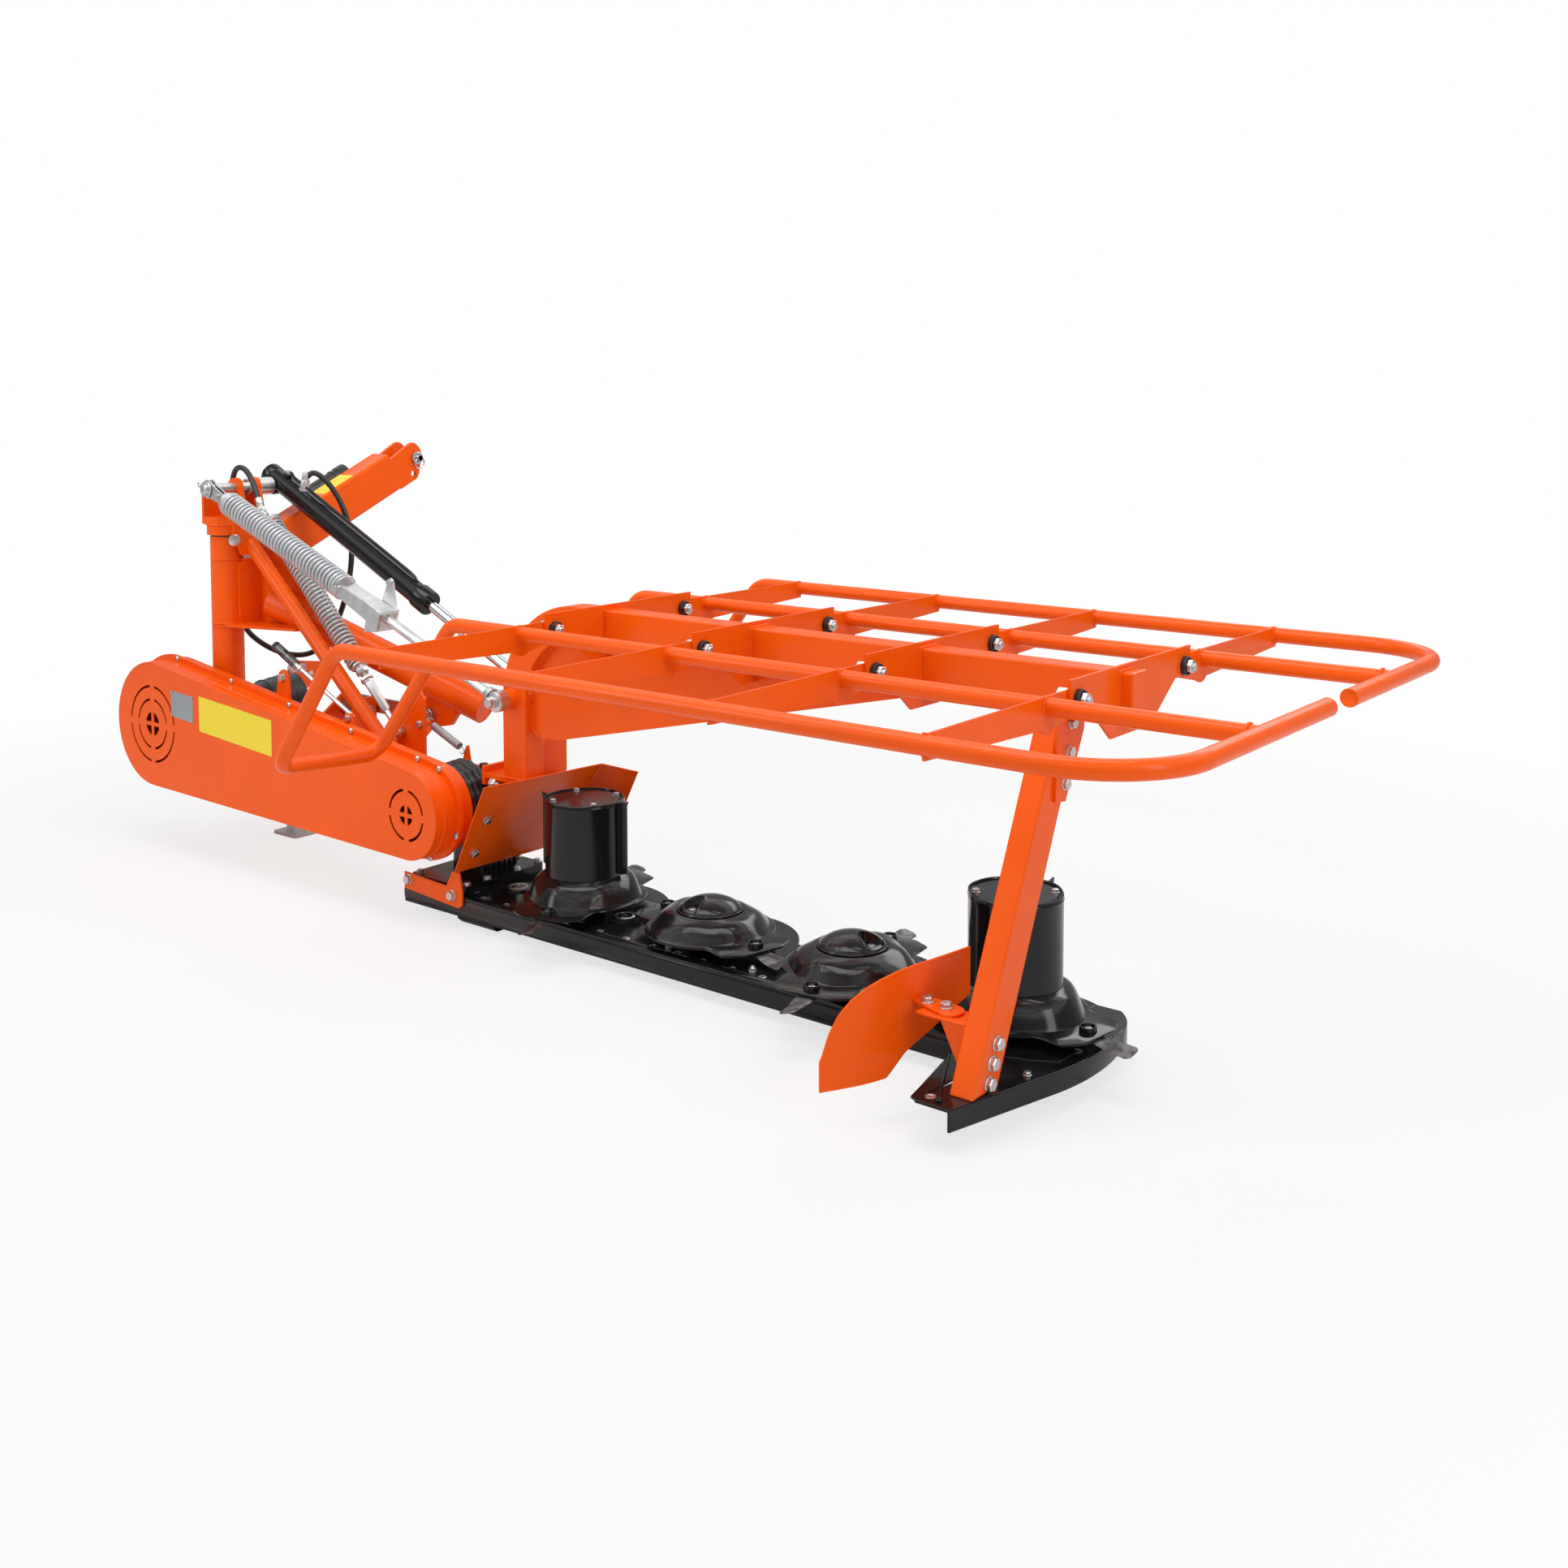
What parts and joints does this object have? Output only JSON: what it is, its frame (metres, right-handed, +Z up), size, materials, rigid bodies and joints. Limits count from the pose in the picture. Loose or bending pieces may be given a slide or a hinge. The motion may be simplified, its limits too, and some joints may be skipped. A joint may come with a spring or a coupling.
{
  "type": "disc mower",
  "caption": "Rear-mounted disc mower parked on its stand: cutter bar with drums and domed discs, tube guard frames, belt drive guard, headstock with lift cylinder and float springs.",
  "frame": {"origin": "on the ground under the middle of the machine's bounding box", "axes": "+X outward along the cutter bar, +Y forward in the direction of travel, +Z up"},
  "size_m": [3.6303, 1.4336, 1.1507],
  "materials": {
    "orange": "gloss orange enamel",
    "black": "gloss black enamel",
    "zinc": "bright zinc plate",
    "spring_steel": "bare coil steel",
    "chrome": "ground chrome",
    "blade_steel": "dark hardened steel",
    "rubber": "matt black rubber",
    "plastic": "matt black plastic",
    "bush": "brown roller"
  },
  "bodies": {
    "headstock": {"column": "orange", "column_bracket": "orange", "mast": "orange", "top_link_pin": "zinc", "arm_tube": "orange", "breakaway_link": "zinc", "hitch_frame": "orange", "lower_hitch_pins": "zinc"},
    "stand": {"parking_stand": "zinc"},
    "swing_frame": {"head_block": "orange", "cross_pin": "zinc", "brace_tube": "orange", "swing_beam": "orange", "swing_plate": "orange", "breakaway_roller": "bush", "belt_cover": "orange", "belt_case": "orange", "pto_guard": "plastic", "belt_tensioner": "orange", "gaiter": "rubber", "brace_spring": "spring_steel", "brace_spring_rod": "zinc", "return_spring": "spring_steel"},
    "drive_shaft": {"pto_shaft": "blade_steel"},
    "cutter_frame": {"gearbox": "black", "hinge_yoke": "orange", "post_arm": "orange", "guard_beam": "orange", "beam_web": "orange", "guard_brackets": "orange", "cutter_bar": "black", "skid_shoes": "black", "inner_strap": "orange", "inner_deflector": "orange", "outer_shoe": "black", "outer_support": "orange", "swath_board": "orange"},
    "disc_one": {"drum_1": "black", "blades_1": "blade_steel"},
    "disc_two": {"domed_disc_2": "black", "blades_2": "blade_steel"},
    "disc_three": {"domed_disc_3": "black", "blades_3": "blade_steel"},
    "disc_four": {"drum_4": "black", "blades_4": "blade_steel"},
    "rear_guard": {"guard_rear": "orange"},
    "front_guard": {"guard_front": "orange"},
    "lift_barrel": {"cylinder_barrel": "black", "supply_hose": "rubber", "hose_coupler": "zinc"},
    "lift_rod": {"cylinder_rod": "chrome"},
    "float_upper": {"float_spring": "spring_steel", "float_channel": "zinc"},
    "float_lower": {"float_rod": "zinc"}
  },
  "joints": [
    {"name": "breakaway_swing", "type": "hinge", "parent": "headstock", "child": "swing_frame", "pos_m": [-1.42968, -0.045, 0.6], "axis": [0, 0, -1], "range_deg": [0, 15]},
    {"name": "stand_slide", "type": "slide", "parent": "headstock", "child": "stand", "axis": [0, 0, 1], "range_m": [0, 0.165]},
    {"name": "bar_fold", "type": "hinge", "parent": "swing_frame", "child": "cutter_frame", "pos_m": [-0.42967, 0, 0.282], "axis": [0, 1, 0], "range_deg": [-90, 10]},
    {"name": "pto_spin", "type": "hinge", "parent": "swing_frame", "child": "drive_shaft", "pos_m": [-1.54868, 0, 0.366], "axis": [0, 1, 0], "continuous": true},
    {"name": "guard_rear_lift", "type": "hinge", "parent": "cutter_frame", "child": "rear_guard", "pos_m": [0.67032, -0.218, 0.794], "axis": [-1, 0, 0], "range_deg": [0, 90]},
    {"name": "guard_front_lift", "type": "hinge", "parent": "cutter_frame", "child": "front_guard", "pos_m": [0.67032, 0.218, 0.794], "axis": [1, 0, 0], "range_deg": [0, 90]},
    {"name": "cylinder_tilt", "type": "hinge", "parent": "swing_frame", "child": "lift_barrel", "pos_m": [-1.42067, 0.134, 1.041], "axis": [0, 1, 0], "range_deg": [-3, 13]},
    {"name": "cylinder_slide", "type": "slide", "parent": "lift_barrel", "child": "lift_rod", "axis": [0.9064, 0, -0.4225], "range_m": [-0.39, 0.06]},
    {"name": "float_tilt", "type": "hinge", "parent": "swing_frame", "child": "float_upper", "pos_m": [-1.42067, -0.1, 1.041], "axis": [0, 1, 0], "range_deg": [-4, 20]},
    {"name": "float_slide", "type": "slide", "parent": "float_upper", "child": "float_lower", "axis": [0.932, 0, -0.3624], "range_m": [-0.41, 0.06]},
    {"name": "disc_one_spin", "type": "hinge", "parent": "cutter_frame", "child": "disc_one", "pos_m": [-0.02967, 0, 0.1], "axis": [0, 0, 1], "continuous": true},
    {"name": "disc_two_spin", "type": "hinge", "parent": "cutter_frame", "child": "disc_two", "pos_m": [0.37033, 0, 0.1], "axis": [0, 0, 1], "continuous": true},
    {"name": "disc_three_spin", "type": "hinge", "parent": "cutter_frame", "child": "disc_three", "pos_m": [0.77033, 0, 0.1], "axis": [0, 0, 1], "continuous": true},
    {"name": "disc_four_spin", "type": "hinge", "parent": "cutter_frame", "child": "disc_four", "pos_m": [1.17033, 0, 0.1], "axis": [0, 0, 1], "continuous": true}
  ],
  "couplings": [
    {"joint": "cylinder_tilt", "follows": "bar_fold", "ratio": -0.11457},
    {"joint": "cylinder_slide", "follows": "bar_fold", "m_per_rad": 0.24091},
    {"joint": "float_tilt", "follows": "bar_fold", "ratio": -0.18776},
    {"joint": "float_slide", "follows": "bar_fold", "m_per_rad": 0.25451},
    {"joint": "disc_two_spin", "follows": "disc_one_spin", "ratio": -1},
    {"joint": "disc_three_spin", "follows": "disc_one_spin", "ratio": 1},
    {"joint": "disc_four_spin", "follows": "disc_one_spin", "ratio": -1}
  ]
}
